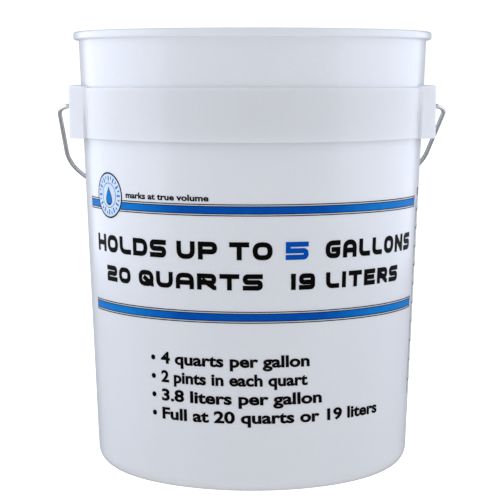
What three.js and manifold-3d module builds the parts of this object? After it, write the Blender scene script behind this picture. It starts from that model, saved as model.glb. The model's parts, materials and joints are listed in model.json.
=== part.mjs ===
// Straight-sided 5 US gallon pail with a wire bail and a loose moulded grip.
// Millimetres, +Z up. The origin is the centre of the underside, on the floor.
// The two ears face -X and +X, and the bail hangs at its stop behind the pail (+Y).

import * as THREE from 'three';
import { mergeVertices } from 'three/addons/utils/BufferGeometryUtils.js';
import Module from 'manifold-3d';

// ---- driving dimensions -------------------------------------------------

const HEIGHT = 368.3;            // floor to the top of the rim
const FACETS = 72;               // flats round the pail

// Wall: one straight cone from the bottom corner to the rim bead.
const WALL = 2.3;                // 90 mil wall
const WALL_FOOT_RADIUS = 133.42; // outside, where the bottom corner ends
const WALL_TOP_RADIUS = 147.52;  // outside, under the rim bead
const CORNER_RADIUS = 14.1;      // outside bottom corner

// Underside: a standing ring, a raised floor and a gate pad level with the ring.
const FLOOR_THICKNESS = 2.5;
const FLOOR_LIFT = 3;
const FOOT_INNER_RADIUS = 113;
const FOOT_STEP = 3;
const GATE_PAD_RADIUS = 20;

// Rim bead, with a flat land on top where a lid seats.
const BEAD_RADIUS = 152;
const BEAD_HEIGHT = 6.6;
const BEAD_ROUND = 1.8;
const RIM_INNER_ROUND = 1.2;

// Stiffening skirt: closed on top, open below, with short ribs inside.
const SKIRT_BOTTOM = 280.4;
const SKIRT_TOP = 322.5;
const SKIRT_OUTER_TOP = 149.5;
const SKIRT_OUTER_BOTTOM = 148.5;
const SKIRT_THICKNESS = 1.8;
const SKIRT_WEB = 2;
const SKIRT_SHOULDER = 2;
const SKIRT_RIBS = 32;
const RIB_THICKNESS = 1.6;
const RIB_SETBACK = 4;           // ribs stop short of the skirt's lower edge
const RIB_FREE_SPAN = 64;        // no ribs this near the middle plane of the ears
const RIB_BITE = 0.3;            // how far a rib runs into the wall and the skirt

// Ears: two hollow pads on the skirt that carry the bail.
const EAR_BOTTOM = 280;
const EAR_TOP = 323.5;
const EAR_HALF_WIDTH = 46;      // of the side planes, where they would meet the crest
const EAR_FLARE = 0.81;          // how fast the sides spread towards the wall
const EAR_CREST = 154.5;         // outer face at the middle of the ear
const EAR_FACE_RADIUS = 457;     // the outer face is gently curved
const EAR_WALL = 2.2;
const EAR_FACETS = 8;            // flats across the curved face
const EAR_ROOT = 130;            // the pads start inside the wall and are trimmed there
const EAR_BACKING = 0.3;         // extra skin on the wall behind the pocket
const CUT_MARGIN = 20;           // cutting solids run past the ears by this much

// Bail: 9 gauge wire, hooked through a hole in each ear.
const WIRE_RADIUS = 1.885;
const WIRE_SIDES = 10;
const PIVOT_Z = 306;
const PIVOT_HOLE_RADIUS = 2.5;
const PIVOT_HOLE_SIDES = 16;
const HANG_ANGLE = 55;           // degrees from straight down, leaning to the rear
const BAIL_REACH = 190;          // pivot axis to the grip's axis
const BAIL_HALF_WIDTH = 165.7;
const BAIL_SKEW = 0.065;         // the bent wire leans to -X by this share of its reach
const KINK = { radius: 8, heading: 25.2 };
const BOW = { radius: 214, heading: 58 };
const SHOULDER = { radius: 78, heading: 86.3 };
const EYE_BEND = { radius: 10.5, heading: 180 };
const HOOK_BEND = { radius: 3, heading: 270 };
const HOOK_X = 148.7;
const HOOK_LENGTH = 5.5;

// Grip: a moulded sleeve that turns freely on the straight of the bail.
const GRIP_LENGTH = 106;
const GRIP_END_RADIUS = 13;
const GRIP_CREST_RADIUS = 14;
const GRIP_FLANGE_RADIUS = 15.5;
const GRIP_FLANGE_WIDTH = 3;
const GRIP_BORE_RADIUS = 2.6;
const GRIP_FACETS = 32;
const GRIP_RINGS = 6;            // steps along the barrel's swell

// ---- helpers ------------------------------------------------------------

const wasm = await Module();
wasm.setup();

const radians = THREE.MathUtils.degToRad;

function toSolid(geometry) {
  const bare = geometry.clone();
  bare.deleteAttribute('normal');
  bare.deleteAttribute('uv');
  const merged = mergeVertices(bare, 1e-4);
  const vertProperties = new Float32Array(merged.attributes.position.array);
  const triVerts = new Uint32Array(merged.index.array);
  return new wasm.Manifold(new wasm.Mesh({ numProp: 3, vertProperties, triVerts }));
}

function toGeometry(solid) {
  const mesh = solid.getMesh();
  const geometry = new THREE.BufferGeometry();
  geometry.setAttribute('position', new THREE.BufferAttribute(mesh.vertProperties, 3));
  geometry.setIndex(new THREE.BufferAttribute(mesh.triVerts, 1));
  return geometry;
}

// Points of an arc about (r, z), from one angle to another in degrees.
function arc(r, z, radius, from, to, steps) {
  const points = [];
  for (let i = 0; i <= steps; i += 1) {
    const angle = radians(from + (to - from) * i / steps);
    points.push([r + radius * Math.cos(angle), z + radius * Math.sin(angle)]);
  }
  return points;
}

// A solid of revolution about +Z from a list of [radius, height].
function turned(profile, facets = FACETS) {
  const points = profile.map(([r, z]) => new THREE.Vector2(r, z));
  return new THREE.LatheGeometry(points, facets).rotateX(Math.PI / 2);
}

function block(x0, x1, y0, y1, z0, z1) {
  const box = new THREE.BoxGeometry(x1 - x0, y1 - y0, z1 - z0);
  return box.translate((x0 + x1) / 2, (y0 + y1) / 2, (z0 + z1) / 2);
}

// ---- pail shell ---------------------------------------------------------

const BEAD_BOTTOM = HEIGHT - BEAD_HEIGHT;
const WALL_SLOPE = (WALL_TOP_RADIUS - WALL_FOOT_RADIUS) / (BEAD_BOTTOM - CORNER_RADIUS);

function wallRadius(z) {
  return WALL_FOOT_RADIUS + WALL_SLOPE * (z - CORNER_RADIUS);
}

function shellProfile() {
  const cornerR = WALL_FOOT_RADIUS - CORNER_RADIUS;
  const floorTop = FLOOR_LIFT + FLOOR_THICKNESS;
  const webUnderside = SKIRT_TOP - SKIRT_WEB;
  const innerTop = wallRadius(HEIGHT) - WALL;
  const skirtLip = SKIRT_THICKNESS / 2;
  return [
    [0, 0],
    [GATE_PAD_RADIUS, 0],
    [GATE_PAD_RADIUS + FLOOR_LIFT / 2, FLOOR_LIFT],
    [FOOT_INNER_RADIUS - FOOT_STEP, FLOOR_LIFT],
    [FOOT_INNER_RADIUS, 0],
    ...arc(cornerR, CORNER_RADIUS, CORNER_RADIUS, -90, 0, 5),
    [wallRadius(webUnderside), webUnderside],
    [SKIRT_OUTER_TOP - SKIRT_THICKNESS, webUnderside],
    ...arc(SKIRT_OUTER_BOTTOM - skirtLip, SKIRT_BOTTOM + skirtLip, skirtLip, 180, 360, 2),
    ...arc(SKIRT_OUTER_TOP - SKIRT_SHOULDER, SKIRT_TOP - SKIRT_SHOULDER, SKIRT_SHOULDER, 0, 90, 2),
    [wallRadius(SKIRT_TOP), SKIRT_TOP],
    [WALL_TOP_RADIUS, BEAD_BOTTOM],
    ...arc(BEAD_RADIUS - BEAD_ROUND, BEAD_BOTTOM + BEAD_ROUND, BEAD_ROUND, -90, 0, 2),
    ...arc(BEAD_RADIUS - BEAD_ROUND, HEIGHT - BEAD_ROUND, BEAD_ROUND, 0, 90, 2),
    ...arc(innerTop + RIM_INNER_ROUND, HEIGHT - RIM_INNER_ROUND, RIM_INNER_ROUND, 90, 180, 2),
    ...arc(cornerR, CORNER_RADIUS, CORNER_RADIUS - WALL, 0, -90, 5),
    [FOOT_INNER_RADIUS + FOOT_STEP / 2, WALL],
    [FOOT_INNER_RADIUS - FOOT_STEP, floorTop],
    [0, floorTop],
  ];
}

// Everything inside the wall's outer face, made larger or smaller by an offset.
function wallCore(offset) {
  const low = SKIRT_BOTTOM - CUT_MARGIN;
  const high = EAR_TOP + CUT_MARGIN;
  const bottom = wallRadius(low) + offset;
  const top = wallRadius(high) + offset;
  return toSolid(turned([[0, low], [bottom, low], [top, high], [0, high]]));
}

// A pad with the ear's curved face and flared sides, drawn in plan and extruded upwards.
function earPad(inset, bottom, top) {
  const centre = EAR_CREST - EAR_FACE_RADIUS;
  const radius = EAR_FACE_RADIUS - inset;
  const halfAt = (x) => EAR_HALF_WIDTH + EAR_FLARE * (EAR_CREST - x) - inset * Math.hypot(1, EAR_FLARE);
  let corner = EAR_CREST;
  for (let i = 0; i < 20; i += 1) corner = centre + Math.sqrt(radius ** 2 - halfAt(corner) ** 2);
  const edge = Math.asin(halfAt(corner) / radius);
  const outline = new THREE.Shape();
  outline.moveTo(EAR_ROOT, halfAt(EAR_ROOT));
  outline.lineTo(EAR_ROOT, -halfAt(EAR_ROOT));
  outline.absarc(centre, 0, radius, -edge, edge, false);
  outline.closePath();
  const settings = { depth: top - bottom, bevelEnabled: false, curveSegments: EAR_FACETS / 2 };
  return toSolid(new THREE.ExtrudeGeometry(outline, settings).translate(0, 0, bottom));
}

function pivotHole() {
  const length = 4 * EAR_WALL;
  const drill = new THREE.CylinderGeometry(PIVOT_HOLE_RADIUS, PIVOT_HOLE_RADIUS, length, PIVOT_HOLE_SIDES);
  return toSolid(drill.rotateZ(Math.PI / 2).translate(EAR_CREST, 0, PIVOT_Z));
}

function addEar(shell, turn) {
  const pad = earPad(0, EAR_BOTTOM, EAR_TOP).subtract(wallCore(-WALL / 2));
  const mouth = SKIRT_BOTTOM - CUT_MARGIN / 2;
  const pocket = earPad(EAR_WALL, mouth, EAR_TOP - EAR_WALL).subtract(wallCore(EAR_BACKING));
  const place = (solid) => solid.rotate([0, 0, turn]);
  return shell.add(place(pad)).subtract(place(pocket)).subtract(place(pivotHole()));
}

// Short upright ribs between the wall and the skirt, clear of the two ears.
function addSkirtRibs(shell) {
  const root = wallRadius(SKIRT_TOP) - WALL + RIB_BITE;
  const tip = SKIRT_OUTER_TOP - SKIRT_THICKNESS + RIB_BITE;
  const half = RIB_THICKNESS / 2;
  let result = shell;
  for (let i = 0; i < SKIRT_RIBS; i += 1) {
    const angle = 2 * Math.PI * (i + 0.5) / SKIRT_RIBS;
    if (Math.abs(Math.sin(angle)) < RIB_FREE_SPAN / SKIRT_OUTER_BOTTOM) continue;
    const rib = block(root, tip, -half, half, SKIRT_BOTTOM + RIB_SETBACK, SKIRT_TOP - SKIRT_WEB / 2);
    result = result.add(toSolid(rib.rotateZ(angle)));
  }
  return result;
}

function makeShell() {
  const turnedShell = toSolid(turned(shellProfile()));
  const ribbed = addSkirtRibs(turnedShell);
  return toGeometry(addEar(addEar(ribbed, 0), 180));
}

// ---- bail ---------------------------------------------------------------

// A planar route made of straights and bends. Each vertex keeps its own heading.
class WireRoute extends THREE.Curve {
  constructor(vertices) {
    super();
    this.vertices = vertices;
  }

  getPointAt(u) {
    return this.vertices[Math.round(u * (this.vertices.length - 1))].point.clone();
  }

  getTangentAt(u) {
    return this.vertices[Math.round(u * (this.vertices.length - 1))].tangent.clone();
  }
}

// Half of the bail from the middle of the grip to the hook: x across, s away from the pivot.
// A heading of 0 points along +x, 90 points at the pivot axis.
function halfRoute() {
  const bends = [
    { ...KINK, from: 0, steps: 3 },
    { ...BOW, from: KINK.heading, steps: 8 },
    { ...SHOULDER, from: BOW.heading, steps: 5 },
    { ...EYE_BEND, from: SHOULDER.heading, steps: 6 },
    { ...HOOK_BEND, from: EYE_BEND.heading, steps: 5 },
  ];
  const across = (bend) => bend.radius * (Math.sin(radians(bend.heading)) - Math.sin(radians(bend.from)));
  const towards = (bend) => bend.radius * (Math.cos(radians(bend.from)) - Math.cos(radians(bend.heading)));
  const [kink, bow, shoulder, eye, hook] = bends;
  const lean = radians(SHOULDER.heading);
  const drop = towards(kink) + towards(bow) + towards(shoulder) + towards(eye);
  const leg = (BAIL_REACH - drop) / Math.sin(lean);
  const widest = leg * Math.cos(lean) + EYE_BEND.radius * (1 - Math.sin(lean));
  const straight = BAIL_HALF_WIDTH - widest - across(kink) - across(bow) - across(shoulder);
  const stub = BAIL_HALF_WIDTH - EYE_BEND.radius - HOOK_BEND.radius - HOOK_X;

  const route = [{ x: straight, s: BAIL_REACH, heading: 0 }];
  const last = () => route[route.length - 1];
  const turn = (bend) => {
    const start = last();
    for (let i = 1; i <= bend.steps; i += 1) {
      const heading = bend.from + (bend.heading - bend.from) * i / bend.steps;
      const part = { radius: bend.radius, from: bend.from, heading };
      route.push({ x: start.x + across(part), s: start.s - towards(part), heading });
    }
  };
  const run = (length) => {
    const { x, s, heading } = last();
    const angle = radians(heading);
    route.push({ x: x + length * Math.cos(angle), s: s - length * Math.sin(angle), heading });
  };
  turn(kink);
  turn(bow);
  turn(shoulder);
  run(leg);
  turn(eye);
  run(stub);
  turn(hook);
  run(HOOK_LENGTH);
  return route;
}

// The bail plane: s runs down and to the rear from the pivot axis, and the skew grows with it.
function inBailPlane(x, s) {
  const hang = radians(HANG_ANGLE);
  return new THREE.Vector3(x - BAIL_SKEW * s, s * Math.sin(hang), PIVOT_Z - s * Math.cos(hang));
}

function makeBail() {
  const half = halfRoute();
  const origin = inBailPlane(0, 0);
  const place = (x, s, heading, flip) => {
    const angle = radians(heading);
    const tangent = inBailPlane(Math.cos(angle), -flip * Math.sin(angle)).sub(origin).normalize();
    return { point: inBailPlane(x, s), tangent };
  };
  const right = half.map(({ x, s, heading }) => place(x, s, heading, 1));
  const left = half.map(({ x, s, heading }) => place(-x, s, heading, -1)).reverse();
  const section = new THREE.Shape();
  section.absarc(0, 0, WIRE_RADIUS, 0, 2 * Math.PI, false);
  const vertices = [...left, ...right];
  return new THREE.ExtrudeGeometry(section, {
    steps: vertices.length - 1,
    curveSegments: WIRE_SIDES / 2,
    bevelEnabled: false,
    extrudePath: new WireRoute(vertices),
  });
}

// ---- grip ---------------------------------------------------------------

// A barrel-shaped sleeve about its own Z axis, with a flange at each end.
function makeGrip() {
  const half = GRIP_LENGTH / 2;
  const shoulder = half - GRIP_FLANGE_WIDTH;
  const swell = GRIP_CREST_RADIUS - GRIP_END_RADIUS;
  const barrel = [];
  for (let i = 0; i <= GRIP_RINGS; i += 1) {
    const t = -1 + 2 * i / GRIP_RINGS;
    barrel.push([GRIP_CREST_RADIUS - swell * t * t, shoulder * t]);
  }
  const profile = [
    [GRIP_BORE_RADIUS, -half],
    [GRIP_FLANGE_RADIUS, -half],
    [GRIP_FLANGE_RADIUS, -shoulder],
    ...barrel,
    [GRIP_FLANGE_RADIUS, shoulder],
    [GRIP_FLANGE_RADIUS, half],
    [GRIP_BORE_RADIUS, half],
    [GRIP_BORE_RADIUS, -half],
  ];
  return turned(profile, GRIP_FACETS);
}

// ---- assembly -----------------------------------------------------------

const whitePlastic = new THREE.MeshStandardMaterial({ color: 0xe8ebf2, roughness: 0.42, metalness: 0 });
const zincWire = new THREE.MeshStandardMaterial({ color: 0xa9adb2, roughness: 0.34, metalness: 1 });
const gripPlastic = new THREE.MeshStandardMaterial({ color: 0xf1f1ee, roughness: 0.5, metalness: 0 });

function namedMesh(name, geometry, material) {
  const mesh = new THREE.Mesh(geometry, material);
  mesh.name = name;
  return mesh;
}

const pail = new THREE.Group();
pail.add(namedMesh('bucket_shell', makeShell(), whitePlastic));
pail.add(namedMesh('bail_wire', makeBail(), zincWire));

const grip = namedMesh('grip', makeGrip(), gripPlastic);
grip.rotation.y = Math.PI / 2;
grip.position.copy(inBailPlane(0, BAIL_REACH));
pail.add(grip);

export default pail;
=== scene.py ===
import json
import math

import bmesh
import bpy
import numpy as np
from mathutils import Matrix, Vector


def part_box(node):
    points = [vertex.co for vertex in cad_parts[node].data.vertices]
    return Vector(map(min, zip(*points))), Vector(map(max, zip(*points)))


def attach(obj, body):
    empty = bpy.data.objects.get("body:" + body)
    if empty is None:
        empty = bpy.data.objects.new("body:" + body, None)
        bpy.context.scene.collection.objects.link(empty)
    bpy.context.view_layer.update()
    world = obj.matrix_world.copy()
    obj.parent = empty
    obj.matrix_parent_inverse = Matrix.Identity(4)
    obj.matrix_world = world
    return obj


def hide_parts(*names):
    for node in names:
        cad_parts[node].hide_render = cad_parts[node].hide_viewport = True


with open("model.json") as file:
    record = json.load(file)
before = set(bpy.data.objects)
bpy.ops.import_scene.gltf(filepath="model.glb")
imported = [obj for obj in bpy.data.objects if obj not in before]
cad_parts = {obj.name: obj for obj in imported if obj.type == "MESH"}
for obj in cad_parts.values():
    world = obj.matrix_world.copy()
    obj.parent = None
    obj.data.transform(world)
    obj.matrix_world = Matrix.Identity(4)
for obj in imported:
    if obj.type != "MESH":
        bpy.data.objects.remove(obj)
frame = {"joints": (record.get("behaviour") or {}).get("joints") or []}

# An open white polyethylene pail with printed marks, a wire bail and a moulded grip.
# Lengths of the object are in millimetres until make_object and print_object turn them
# into metres. The camera and the studio are in metres.

MM = 0.001
TAU = 2 * math.pi
deg = math.radians

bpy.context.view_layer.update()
_, shell_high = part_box("bucket_shell")
grip_low, grip_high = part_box("grip")
joints = {joint["name"]: joint for joint in frame["joints"]}

# ---- sizes ---------------------------------------------------------------

HEIGHT = shell_high.z / MM
BEAD_RADIUS = shell_high.y / MM
EAR_CREST = shell_high.x / MM
PIVOT_Z = joints["bail_swing"]["pos_m"][2] / MM
GRIP_CENTRE = Vector(joints["grip_spin"]["pos_m"]) / MM
GRIP_LENGTH = (grip_high.x - grip_low.x) / MM

WALL = 2.3
WALL_FOOT_RADIUS = 133.42
WALL_TOP_RADIUS = 147.52
CORNER_RADIUS = 14.1
BEAD_HEIGHT = 6.6
BEAD_BOTTOM = HEIGHT - BEAD_HEIGHT
WALL_SLOPE = (WALL_TOP_RADIUS - WALL_FOOT_RADIUS) / (BEAD_BOTTOM - CORNER_RADIUS)

FLOOR_LIFT = 3.0
FLOOR_TOP = 5.5
FOOT_INNER_RADIUS = 113.0
GATE_PAD_RADIUS = 20.0

SKIRT_BOTTOM = 280.4
SKIRT_TOP = 322.5
SKIRT_OUTER_TOP = 149.5
SKIRT_OUTER_BOTTOM = 148.5
SKIRT_THICKNESS = 1.8
SKIRT_WEB = 2.0
SKIRT_RIBS = 32
RIB_THICKNESS = 1.6
RIB_FREE_SPAN = 64.0
RIB_LIFT = 4.0
RIB_OVERLAP = 0.3

EAR_BOTTOM = 280.0
EAR_TOP = 323.5
EAR_HALF_WIDTH = 46.0
EAR_FLARE = 0.81
EAR_SLANT = math.hypot(1, EAR_FLARE)
EAR_FACE_RADIUS = 457.0
EAR_CENTRE_X = EAR_CREST - EAR_FACE_RADIUS
EAR_WALL = 2.2
EAR_ROUND = 1.2

# Beside each ear a turned strip leads to a fine parting groove in the skirt.
STRIP_START_X = 139.5
STRIP_END_X = 136.9
GROOVE_WIDTH = 0.9
GROOVE_DEPTH = 0.55

# Rounds, fillets and small steps of the shell's section.
GATE_MARK_RADIUS = 3.0
GATE_MARK_DEPTH = 0.5
PAD_ROUND = 0.6
PAD_FILLET = 0.8
RECESS_FILLET = 1.2
FOOT_ROUND = 0.9
SKIRT_LIP = 0.6
SKIRT_SHOULDER = 2.0
EAR_SHOULDER = 0.8
SKIRT_FILLET = 1.0
BEAD_FILLET = 1.2
BEAD_LOWER_ROUND = 2.0
BEAD_UPPER_ROUND = 2.2
MOUTH_ROUND = 1.2
FLOOR_EDGE = [(115.2, 2.3), (114.0, 2.6), (111.4, 5.1), (110.0, FLOOR_TOP)]

WIRE_RADIUS = 1.885
PIVOT_HOLE_RADIUS = 2.5

SHARP_ANGLE = 32
SETTLE_STEPS = 20


def sine(degrees):
    return math.sin(deg(degrees))


def cosine(degrees):
    return math.cos(deg(degrees))


def wall_radius(z):
    """Outer radius of the pail's wall at a height."""
    return WALL_FOOT_RADIUS + WALL_SLOPE * (z - CORNER_RADIUS)


def ripple(phi, z):
    """The slight out-of-round of a large thin moulding, in mm."""
    return (
        0.10 * np.sin(2 * phi + 0.7 + z / 140)
        + 0.06 * np.sin(3 * phi - 1.1 - z / 90)
        + 0.03 * np.sin(5 * phi + 2.0 + z / 60)
    )


def arc(r, z, radius, start, end, steps):
    """Points (r, z) along an arc about a centre, between two angles in degrees."""
    angles = np.radians(np.linspace(start, end, steps + 1))
    return [(r + radius * math.cos(a), z + radius * math.sin(a)) for a in angles]


def bend(start, corner, end, t):
    """A point on the curve that rounds a corner, as t goes from 0 to 1."""
    return (1 - t) ** 2 * start + 2 * t * (1 - t) * corner + t ** 2 * end


# ---- mesh helpers --------------------------------------------------------


def link_object(name, data):
    obj = bpy.data.objects.new(name, data)
    bpy.context.scene.collection.objects.link(obj)
    return obj


def smooth(mesh, sharp_angle=SHARP_ANGLE):
    """Shades a mesh smooth, apart from the edges that turn by more than an angle."""
    mesh.shade_smooth()
    mesh.set_sharp_from_angle(angle=deg(sharp_angle))


def make_object(name, verts, faces, sharp_angle=SHARP_ANGLE):
    """A smooth-shaded object from points in millimetres."""
    mesh = bpy.data.meshes.new(name)
    mesh.from_pydata([tuple(MM * c for c in v) for v in verts], [], faces)
    mesh.validate()
    smooth(mesh, sharp_angle)
    return link_object(name, mesh)


def mesh_from_bmesh(name, bm):
    mesh = bpy.data.meshes.new(name)
    bm.to_mesh(mesh)
    bm.free()
    return mesh


def loft_faces(rows, columns, first_pole=False, last_pole=False, closed=False):
    """Quads between rings of vertices that run round an axis; a pole is one vertex."""
    starts = []
    count = 0
    for row in range(rows):
        starts.append(count)
        pole = (row == 0 and first_pole) or (row == rows - 1 and last_pole)
        count += 1 if pole else columns
    faces = []
    pairs = [(row, row + 1) for row in range(rows - 1)]
    if closed:
        pairs.append((rows - 1, 0))
    for low, high in pairs:
        a, b = starts[low], starts[high]
        for i in range(columns):
            j = (i + 1) % columns
            if low == 0 and first_pole:
                faces.append((a, b + j, b + i))
            elif high == rows - 1 and last_pole:
                faces.append((a + i, a + j, b))
            else:
                faces.append((a + i, a + j, b + j, b + i))
    return faces


def boolean(target, tools, operation):
    """Joins or cuts closed meshes for good, and removes the tools."""
    for tool in tools:
        modifier = target.modifiers.new(operation, "BOOLEAN")
        modifier.operation = operation
        modifier.object = tool
        modifier.solver = "EXACT"
    graph = bpy.context.evaluated_depsgraph_get()
    mesh = bpy.data.meshes.new_from_object(target.evaluated_get(graph))
    target.modifiers.clear()
    spares = [target.data] + [tool.data for tool in tools]
    target.data = mesh
    for tool in tools:
        bpy.data.objects.remove(tool)
    for spare in spares:
        bpy.data.meshes.remove(spare)


# ---- pail shell ----------------------------------------------------------


def ear_outline(ring, inset, dressed):
    """Quarter of the skirt and ear in plan, from the middle of the ear round to 90 degrees.

    Returns polar arrays (angle from the ear's axis, radius). A dressed outline has the
    turned strip and the fine parting groove of the outer face."""
    face = EAR_FACE_RADIUS - inset

    def half_width(x):
        return EAR_HALF_WIDTH + EAR_FLARE * (EAR_CREST - x) - inset * EAR_SLANT

    def between(start, end, steps):
        return [start + t * (end - start) for t in np.linspace(0, 1, steps + 1)[1:]]

    corner_x = EAR_CREST
    for _ in range(SETTLE_STEPS):
        corner_x = EAR_CENTRE_X + math.sqrt(face ** 2 - half_width(corner_x) ** 2)
    corner = np.array((corner_x, half_width(corner_x)))
    across = np.array((corner_x - EAR_CENTRE_X, corner[1])) / face
    flank = np.array((-1.0, EAR_FLARE)) / EAR_SLANT
    before = corner + EAR_ROUND * np.array((across[1], -across[0]))
    after = corner + EAR_ROUND * flank
    face_end = math.degrees(math.atan2(before[1], before[0] - EAR_CENTRE_X))
    points = arc(EAR_CENTRE_X, 0, face, 0, face_end, 17)
    points += [bend(before, corner, after, t) for t in np.linspace(0, 1, 7)[1:]]
    if dressed:
        strip_start = corner + flank * (corner_x - STRIP_START_X) * EAR_SLANT
        strip_end = np.array((STRIP_END_X, math.sqrt(ring ** 2 - STRIP_END_X ** 2)))
        points += between(after, strip_start, 7)
        points += between(strip_start, strip_end, 3)
        groove_start = math.atan2(strip_end[1], strip_end[0])
        middle = groove_start + GROOVE_WIDTH / ring / 2
        groove_floor = ring - GROOVE_DEPTH
        points.append((groove_floor * math.cos(middle), groove_floor * math.sin(middle)))
        start = groove_start + GROOVE_WIDTH / ring
    else:
        x = corner_x
        for _ in range(SETTLE_STEPS):
            x = math.sqrt(ring ** 2 - half_width(x) ** 2)
        flank_end = np.array((x, half_width(x)))
        points += between(after, flank_end, 9)[:-1]
        start = math.atan2(flank_end[1], flank_end[0])
    points += arc(0, 0, ring, math.degrees(start), 90, 45)
    xy = np.array(points)
    return np.arctan2(xy[:, 1], xy[:, 0]), np.hypot(xy[:, 0], xy[:, 1])


def shell_columns():
    """Azimuths of the shell's columns, close together where the ears turn a corner."""
    quarter, _ = ear_outline(SKIRT_OUTER_TOP, 0, True)
    half = np.concatenate([quarter, math.pi - quarter[-2::-1]])
    return np.concatenate([half, TAU - half[-2:0:-1]])


def shell_rows(phi):
    """The shell's section at every azimuth: rows of (radius, height), from the underside
    up the outside, over the rim and down the inside."""
    ear_angle = np.abs(np.arcsin(np.clip(np.sin(phi), -1, 1)))

    def sample(ring, inset, dressed):
        return np.interp(ear_angle, *ear_outline(ring, inset, dressed))

    out_top = sample(SKIRT_OUTER_TOP, 0, True)
    out_bottom = sample(SKIRT_OUTER_BOTTOM, 0, True)
    in_top = sample(SKIRT_OUTER_TOP - SKIRT_THICKNESS, EAR_WALL, False)
    in_bottom = sample(SKIRT_OUTER_BOTTOM - SKIRT_THICKNESS, EAR_WALL, False)
    ear = np.clip((out_top - SKIRT_OUTER_TOP) / 4, 0, 1)
    ear = ear * ear * (3 - 2 * ear)

    def blend(skirt_value, ear_value):
        return skirt_value + (ear_value - skirt_value) * ear

    top = blend(SKIRT_TOP, EAR_TOP)
    bottom = blend(SKIRT_BOTTOM, EAR_BOTTOM)
    ceiling = blend(SKIRT_TOP - SKIRT_WEB, EAR_TOP - EAR_WALL)
    shoulder = blend(SKIRT_SHOULDER, EAR_SHOULDER)
    flat = np.ones_like(phi)
    rows = []

    def add(radius, z, rippled=0.0):
        rows.append((radius * flat + rippled * ripple(phi, z), z * flat))

    def add_wall(z0, z1, steps, inset=0.0, start=0):
        for z in np.linspace(z0, z1, steps + 1)[start:]:
            add(wall_radius(z) - inset, z, 1.0)

    def add_arc(*sizes, skip=0):
        for radius, z in arc(*sizes)[skip:]:
            add(radius, z)

    corner_r = WALL_FOOT_RADIUS - CORNER_RADIUS
    add(GATE_MARK_RADIUS, GATE_MARK_DEPTH)
    add(GATE_MARK_RADIUS + 0.4, 0.1)
    add_arc(GATE_PAD_RADIUS - PAD_ROUND, PAD_ROUND, PAD_ROUND, -90, -10, 3)
    add_arc(GATE_PAD_RADIUS + 2.2, FLOOR_LIFT - PAD_FILLET, PAD_FILLET, 170, 90, 3)
    for radius in (30, 48, 66, 84, 100):
        add(radius, FLOOR_LIFT)
    add_arc(FOOT_INNER_RADIUS - 3, FLOOR_LIFT - RECESS_FILLET, RECESS_FILLET, 90, 30, 4)
    add_arc(FOOT_INNER_RADIUS + 0.8, FOOT_ROUND, FOOT_ROUND, 210, 270, 4)
    add_arc(corner_r, CORNER_RADIUS, CORNER_RADIUS, -90, 0, 14)
    add_wall(CORNER_RADIUS, SKIRT_BOTTOM - 4, 22, start=1)
    add(wall_radius(SKIRT_BOTTOM), SKIRT_BOTTOM, 1.0)
    add(wall_radius(ceiling), ceiling)
    add(in_top, ceiling)
    add_arc(in_bottom + SKIRT_LIP, bottom + SKIRT_LIP, SKIRT_LIP, 180, 270, 4)
    add_arc(out_bottom - SKIRT_LIP, bottom + SKIRT_LIP, SKIRT_LIP, 270, 360, 4)
    for t in (0.25, 0.5, 0.75):
        z = bottom + SKIRT_LIP + t * (top - shoulder - bottom - SKIRT_LIP)
        add(out_bottom + t * (out_top - out_bottom), z)
    add_arc(out_top - shoulder, top - shoulder, shoulder, 0, 90, 5)
    add_arc(wall_radius(top) + SKIRT_FILLET, top + SKIRT_FILLET, SKIRT_FILLET, 270, 180, 4)
    add_wall(EAR_TOP + 4, BEAD_BOTTOM - 2, 5)
    under_bead = wall_radius(BEAD_BOTTOM) + BEAD_FILLET
    add_arc(under_bead, BEAD_BOTTOM - BEAD_FILLET, BEAD_FILLET, 180, 90, 4)
    lower, upper = BEAD_LOWER_ROUND, BEAD_UPPER_ROUND
    add_arc(BEAD_RADIUS - lower, BEAD_BOTTOM + lower, lower, -90, 0, 6)
    add_arc(BEAD_RADIUS - upper, HEIGHT - upper, upper, 0, 90, 7)
    mouth = wall_radius(HEIGHT) - WALL
    add_arc(mouth + MOUTH_ROUND, HEIGHT - MOUTH_ROUND, MOUTH_ROUND, 90, 180, 5)
    add_wall(HEIGHT - 8, CORNER_RADIUS, 30, inset=WALL)
    add_arc(corner_r, CORNER_RADIUS, CORNER_RADIUS - WALL, 0, -90, 12, skip=1)
    for radius, z in FLOOR_EDGE:
        add(radius, z)
    for radius in (92, 72, 52, 34, 16):
        add(radius, FLOOR_TOP)
    return rows


def make_rib(angle):
    """An upright rib between the wall and the skirt."""
    root = wall_radius(SKIRT_TOP) - WALL + RIB_OVERLAP
    tip = SKIRT_OUTER_TOP - SKIRT_THICKNESS + RIB_OVERLAP
    half = RIB_THICKNESS / 2
    low, high = SKIRT_BOTTOM + RIB_LIFT, SKIRT_TOP - SKIRT_WEB / 2
    turn = Matrix.Rotation(angle, 3, "Z")
    corners = [(x, y, z) for z in (low, high) for y in (-half, half) for x in (root, tip)]
    faces = [(0, 2, 3, 1), (4, 5, 7, 6), (0, 1, 5, 4), (2, 6, 7, 3), (0, 4, 6, 2), (1, 3, 7, 5)]
    return make_object("rib", [turn @ Vector(corner) for corner in corners], faces)


def make_drill(side):
    """A round tool that opens the wire's hole in one ear."""
    sides = 40
    verts = []
    for x in (EAR_CREST - 4.5, EAR_CREST + 3):
        for y, z in circle(PIVOT_HOLE_RADIUS, sides):
            verts.append((side * x, y, PIVOT_Z + z))
    faces = [tuple(range(sides))[::-1], tuple(range(sides, 2 * sides))]
    faces += [(i, (i + 1) % sides, sides + (i + 1) % sides, sides + i) for i in range(sides)]
    if side < 0:
        faces = [face[::-1] for face in faces]
    return make_object("drill", verts, faces)


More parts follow.
